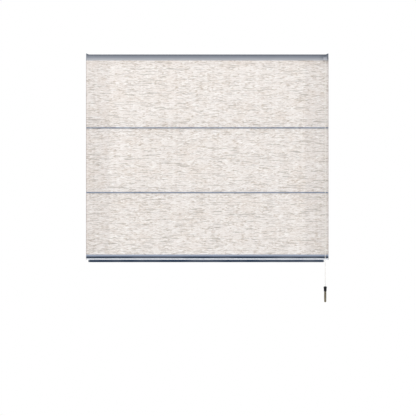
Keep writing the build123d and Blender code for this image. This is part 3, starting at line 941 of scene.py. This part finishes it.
def tubeFaces(faces, base, rings, sides):
    for ring in range(rings - 1):
        for k in range(sides):
            a = base + ring * sides + k
            b = base + ring * sides + (k + 1) % sides
            faces.append((a, b, b + sides, a + sides))
    faces.append(tuple(base + k for k in reversed(range(sides))))
    last = base + (rings - 1) * sides
    faces.append(tuple(last + k for k in range(sides)))


def addStitch(points, faces, middle, direction):
    half = stitches["length"] / 2
    out = Vector((0, -1, 0))
    side = direction.cross(out).normalized()
    start = len(points)
    for along, swell in stitches["rings"]:
        centre = middle + direction * (half * along)
        radius = stitches["width"] / 2 * swell
        for k in range(stitches["sides"]):
            angle = 2 * math.pi * k / stitches["sides"]
            across = side * math.cos(angle) * radius
            raised = out * math.sin(angle) * radius * stitches["flatness"]
            points.append(centre + (across + raised))
    tubeFaces(faces, start, len(stitches["rings"]), stitches["sides"])


def makeStitches():
    points, faces = [], []
    surface = sheetLow.y + cloth["clearance"]
    down, right = Vector((0, 0, -1)), Vector((1, 0, 0))
    seam = sheetHigh.x - cloth["hemWidth"] + stitches["hemInset"]
    for x in (-seam, seam):
        z = sheetHigh.z - stitches["topGap"]
        while z > footTop + stitches["footGap"]:
            if all(abs(z - level) > stitches["ribGap"] for level in ribLevels):
                addStitch(points, faces, Vector((x, surface + bellyAt(x, z), z)), down)
            z -= stitches["pitch"]
    tapeLow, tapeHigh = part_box("loop_tape")
    for z in (tapeHigh.z - stitches["tapeInset"], tapeLow.z + stitches["tapeInset"]):
        x = tapeLow.x + stitches["tapeEnd"]
        while x < tapeHigh.x - stitches["tapeEnd"]:
            if abs(abs(x) - seam) > stitches["crossing"]:
                addStitch(points, faces, Vector((x, surface + bellyAt(x, z), z)), right)
            x += stitches["pitch"]
    piece = meshPiece("sheet_stitches", points, faces, "stitch")
    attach(piece, "headrail")
    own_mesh(piece)


makeStitches()
print("stage: fabric and stitches")


# Tapes: woven strips with a napped face

tape = {"columns": 420, "rows": 12, "nap": 0.00012, "napScale": 900, "napDepthScale": 4000, "napLift": 0.5}


def makeTape(name, node):
    low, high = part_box(node)
    columns, rows = tape["columns"], tape["rows"]
    loop = [(low.y, low.z + (high.z - low.z) * r / rows) for r in range(rows + 1)]
    loop += [(high.y, high.z - (high.z - low.z) * r / rows) for r in range(rows + 1)]
    points = []
    middleY = (low.y + high.y) / 2
    for column in range(columns + 1):
        x = low.x + (high.x - low.x) * column / columns
        for y, z in loop:
            place = (x * tape["napScale"], z * tape["napScale"], y * tape["napDepthScale"])
            fuzz = noise.noise(Vector(place)) * tape["nap"]
            inward = -1 if y < middleY else 1
            points.append((x, y - inward * (tape["nap"] + fuzz), z + fuzz * tape["napLift"]))
    size = len(loop)
    faces = []
    for column in range(columns):
        for k in range(size):
            a, b = column * size + k, column * size + (k + 1) % size
            faces.append((a, b, b + size, a + size))
    faces.append(tuple(range(size)))
    faces.append(tuple(columns * size + k for k in reversed(range(size))))
    piece = meshPiece(name, points, faces, "tape_white", smoothShading=False)
    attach(piece, "headrail")
    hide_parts(node)


makeTape("headrail_hook_tape", "hook_tape")
makeTape("sheet_loop_tape", "loop_tape")
print("stage: tapes")


# Lines and pull cord


def tubeRings(path, radius, sides, points, faces):
    base = len(points)
    path = [Vector(p) for p in path]
    normal = None
    for index, centre in enumerate(path):
        before = path[max(index - 1, 0)]
        after = path[min(index + 1, len(path) - 1)]
        along = (after - before).normalized()
        if normal is None:
            normal = along.orthogonal().normalized()
        normal = (normal - along * normal.dot(along)).normalized()
        across = along.cross(normal)
        for k in range(sides):
            angle = 2 * math.pi * k / sides
            points.append(centre + (normal * math.cos(angle) + across * math.sin(angle)) * radius)
    tubeFaces(faces, base, len(path), sides)


def routeLine(name, points, resolution):
    data = bpy.data.curves.new(name, "CURVE")
    data.dimensions = "3D"
    data.resolution_u = resolution
    spline = data.splines.new("NURBS")
    spline.points.add(len(points) - 1)
    for control, place in zip(spline.points, points):
        control.co = (*place, 1.0)
    spline.order_u = 3
    spline.use_endpoint_u = True
    holder = bpy.data.objects.new(name, data)
    bpy.context.scene.collection.objects.link(holder)
    bpy.context.view_layer.update()
    graph = bpy.context.evaluated_depsgraph_get()
    mesh = bpy.data.meshes.new_from_object(holder.evaluated_get(graph))
    line = [v.co.copy() for v in mesh.vertices]
    bpy.data.meshes.remove(mesh)
    bpy.data.objects.remove(holder)
    bpy.data.curves.remove(data)
    return line


lift = {"sides": 10, "rings": 160}


def makeLiftLines():
    for number in (1, 2, 3):
        node = f"lift_line_{number}"
        low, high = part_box(node)
        x, y = (low.x + high.x) / 2, (low.y + high.y) / 2
        drop = low.z - high.z
        path = [(x, y, high.z + drop * k / lift["rings"]) for k in range(lift["rings"] + 1)]
        points, faces = [], []
        tubeRings(path, (high.x - low.x) / 2, lift["sides"], points, faces)
        piece = meshPiece(f"lift_line_cord_{number}", points, faces, "cord_white")
        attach(piece, "headrail")
        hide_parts(node)
        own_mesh(piece)


knot = {
    "size": 0.00135,
    "strand": 0.00062,
    "steps": 60,
    "sides": 8,
    "swell": 0.5,
    "rise": 1.1,
    "pull": 0.8,  # how tight it is drawn
    "tail": ((0, 0, 0), (0.0006, -0.0003, -0.004), (0.0002, -0.0008, -0.009)),
    "tailSteps": 8,
}


def makeKnots():
    low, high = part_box("line_knots")
    y, z = (low.y + high.y) / 2, (low.z + high.z) / 2
    points, faces = [], []
    for number in (1, 2, 3):
        lineLow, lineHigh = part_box(f"lift_line_{number}")
        x = (lineLow.x + lineHigh.x) / 2
        path = []
        for k in range(knot["steps"]):
            a = 2 * math.pi * k / knot["steps"]
            reach = 1 + knot["swell"] * math.cos(3 * a)
            path.append(
                (
                    x + knot["size"] * reach * math.cos(2 * a) * knot["pull"],
                    y + knot["size"] * reach * math.sin(2 * a) * knot["pull"],
                    z + knot["size"] * knot["rise"] * math.sin(3 * a) * knot["pull"],
                )
            )
        tubeRings(path + [path[0]], knot["strand"], knot["sides"], points, faces)
        tail = [(x + right, y + back, z + up) for right, back, up in knot["tail"]]
        line = routeLine("tail", tail, knot["tailSteps"])
        tubeRings(line, knot["strand"], knot["sides"], points, faces)
    piece = meshPiece("lift_line_knots", points, faces, "cord_white")
    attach(piece, "bottom_rail")
    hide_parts("line_knots")


def lathe(profile, centre, steps):
    points, faces = [], []
    for radius, z in profile:
        for k in range(steps):
            angle = 2 * math.pi * k / steps
            x = centre[0] + radius * math.cos(angle)
            y = centre[1] + radius * math.sin(angle)
            points.append((x, y, z))
    rings = len(profile)
    for ring in range(rings - 1):
        for k in range(steps):
            a = ring * steps + k
            b = ring * steps + (k + 1) % steps
            faces.append((a, a + steps, b + steps, b))
    faces.append(tuple(range(steps)))
    faces.append(tuple((rings - 1) * steps + k for k in reversed(range(steps))))
    return points, faces


latheSteps = 64
bell = {
    "bore": 0.0014,
    "collar": 0.0021,
    "collarLip": 0.0008,
    "collarDrop": 0.0006,
    "shoulder": 0.0028,
    "shoulderDrop": 0.0008,
    "shoulderSteps": 8,
    "waist": (0.99, 0.34),  # shares of the widest radius and of the height
    "foot": 0.8,  # share of the widest radius
    "grooves": (0.46, 0.54, 0.62),  # finger grooves, as shares of the height
    "grooveDepth": 0.00035,
    "grooveHalf": 0.0002,
    "grooveEdge": 0.0006,
    "rim": ((1.02, 0.0016), (1.02, 0.0006), (0.97, 0), (0.9, 0), (0.88, 0.0008)),
}


def makeConnector(centre):
    low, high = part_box("cord_connector")
    height = high.z - low.z
    widest = (high.x - low.x) / 2
    foot = widest * bell["foot"]
    shoulder = bell["shoulder"]
    profile = [
        (bell["bore"], high.z),
        (bell["collar"], high.z),
        (bell["collar"] + bell["collarLip"], high.z - bell["collarDrop"]),
    ]
    for k in range(bell["shoulderSteps"] + 1):
        a = math.radians(90 - 90 * k / bell["shoulderSteps"])
        level = high.z - bell["shoulderDrop"] - shoulder * (1 - math.sin(a))
        profile.append((widest - shoulder + shoulder * math.cos(a), level))
    profile.append((widest * bell["waist"][0], high.z - height * bell["waist"][1]))
    for share in bell["grooves"]:
        z = high.z - height * share
        radius = widest + (foot - widest) * share
        profile += [
            (radius, z + bell["grooveEdge"]),
            (radius - bell["grooveDepth"], z + bell["grooveHalf"]),
            (radius - bell["grooveDepth"], z - bell["grooveHalf"]),
            (radius, z - bell["grooveEdge"]),
        ]
    profile += [(foot * share, low.z + rise) for share, rise in bell["rim"]]
    points, faces = lathe(profile, centre, latheSteps)
    piece = meshPiece("cord_connector_bell", points, faces, "black_plastic")
    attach(piece, "tassel")
    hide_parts("cord_connector")
    return piece


weight = {
    "overlap": 0.0008,  # its top's reach into the connector
    "neck": (0.55, 0.86, 0.9),  # shares of the radius
    "neckDrop": 0.0009,
    "bodyDrop": 0.0012,
    "bodySteps": 12,
    "ends": 0.93,
    "swell": 0.07,
    "swellReach": 1.15,
    "roundShare": 0.9,
    "roundSteps": 8,
    "tip": 0.0003,
}


def makeWeight(centre):
    low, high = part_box("cord_weight")
    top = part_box("cord_connector")[0].z + weight["overlap"]
    radius = (high.x - low.x) / 2
    mouth, neck, shoulder = (radius * share for share in weight["neck"])
    profile = [(mouth, top), (neck, top), (shoulder, top - weight["neckDrop"])]
    rounding = radius * weight["roundShare"]
    run = top - low.z - weight["bodyDrop"] - rounding
    for k in range(weight["bodySteps"] + 1):  # a faint swell along the turned body
        share = k / weight["bodySteps"]
        bulge = math.sin(math.pi * min(1, share * weight["swellReach"]))
        width = radius * (weight["ends"] + weight["swell"] * bulge)
        profile.append((width, top - weight["bodyDrop"] - run * share))
    base, level = profile[-1]
    for k in range(1, weight["roundSteps"] + 1):  # rounded end
        a = math.radians(90 * k / weight["roundSteps"])
        profile.append((max(base * math.cos(a), weight["tip"]), level - rounding * math.sin(a)))
    points, faces = lathe(profile, centre, latheSteps)
    piece = meshPiece("cord_weight_turned", points, faces, "olive_wood")
    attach(piece, "tassel")
    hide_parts("cord_weight")
    return piece


pullCord = {
    "diameter": 0.0022,
    "length": 0.974,
    "sides": 12,
    "resolution": 40,
    "inRail": 0.014,  # from the turn block to where the bend starts
    "bendDrop": 0.0075,
    "guideDrop": 0.0205,
    "inBell": 0.012,  # its end knot sits inside the connector
    "exitDrop": 0.001,
    "bellGap": 0.0005,
}


def makePullCord():
    low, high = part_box("pull_cord")
    x = (low.x + high.x) / 2
    front = low.y + pullCord["diameter"] / 2
    top = high.z - pullCord["diameter"] / 2
    back = high.y
    route = [
        (x, back, top),
        (x, back - pullCord["inRail"], top),
        (x, front, top),
        (x, front, top - pullCord["bendDrop"]),
        (x, front, top - pullCord["guideDrop"]),
        (x, front, low.z - pullCord["inBell"]),
    ]
    line = routeLine("pullRoute", route, pullCord["resolution"])
    points, faces = [], []
    tubeRings(line, pullCord["diameter"] / 2, pullCord["sides"], points, faces)
    piece = meshPiece("pull_cord_braid", points, faces, "cord_white")
    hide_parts("pull_cord")
    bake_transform(piece)
    connector = makeConnector((x, front))
    hungWeight = makeWeight((x, front))


makeLiftLines()
makeKnots()
makePullCord()
print("stage: lines, cord and weight")


# Finishes of the pieces that stay as the frame has them

special = {
    "rib_upper": "rib",
    "rib_lower": "rib",
    "rib_bottom": "rib_bottom",
    # the cord guide takes the headrail paint with its painted shade
    "cord_guide": "slate_metal",
}


def dressFrame():
    slots = {row["node"]: row["material_slot"] for row in frame["record"]["subparts"]}
    for name, piece in nodes.items():
        finish = finishes[special.get(name) or slots[name]]
        if not piece.data.materials:
            piece.data.materials.append(finish)
        for index in range(len(piece.data.materials)):
            piece.data.materials[index] = finish


dressFrame()
print("stage: finishes on the frame's pieces")
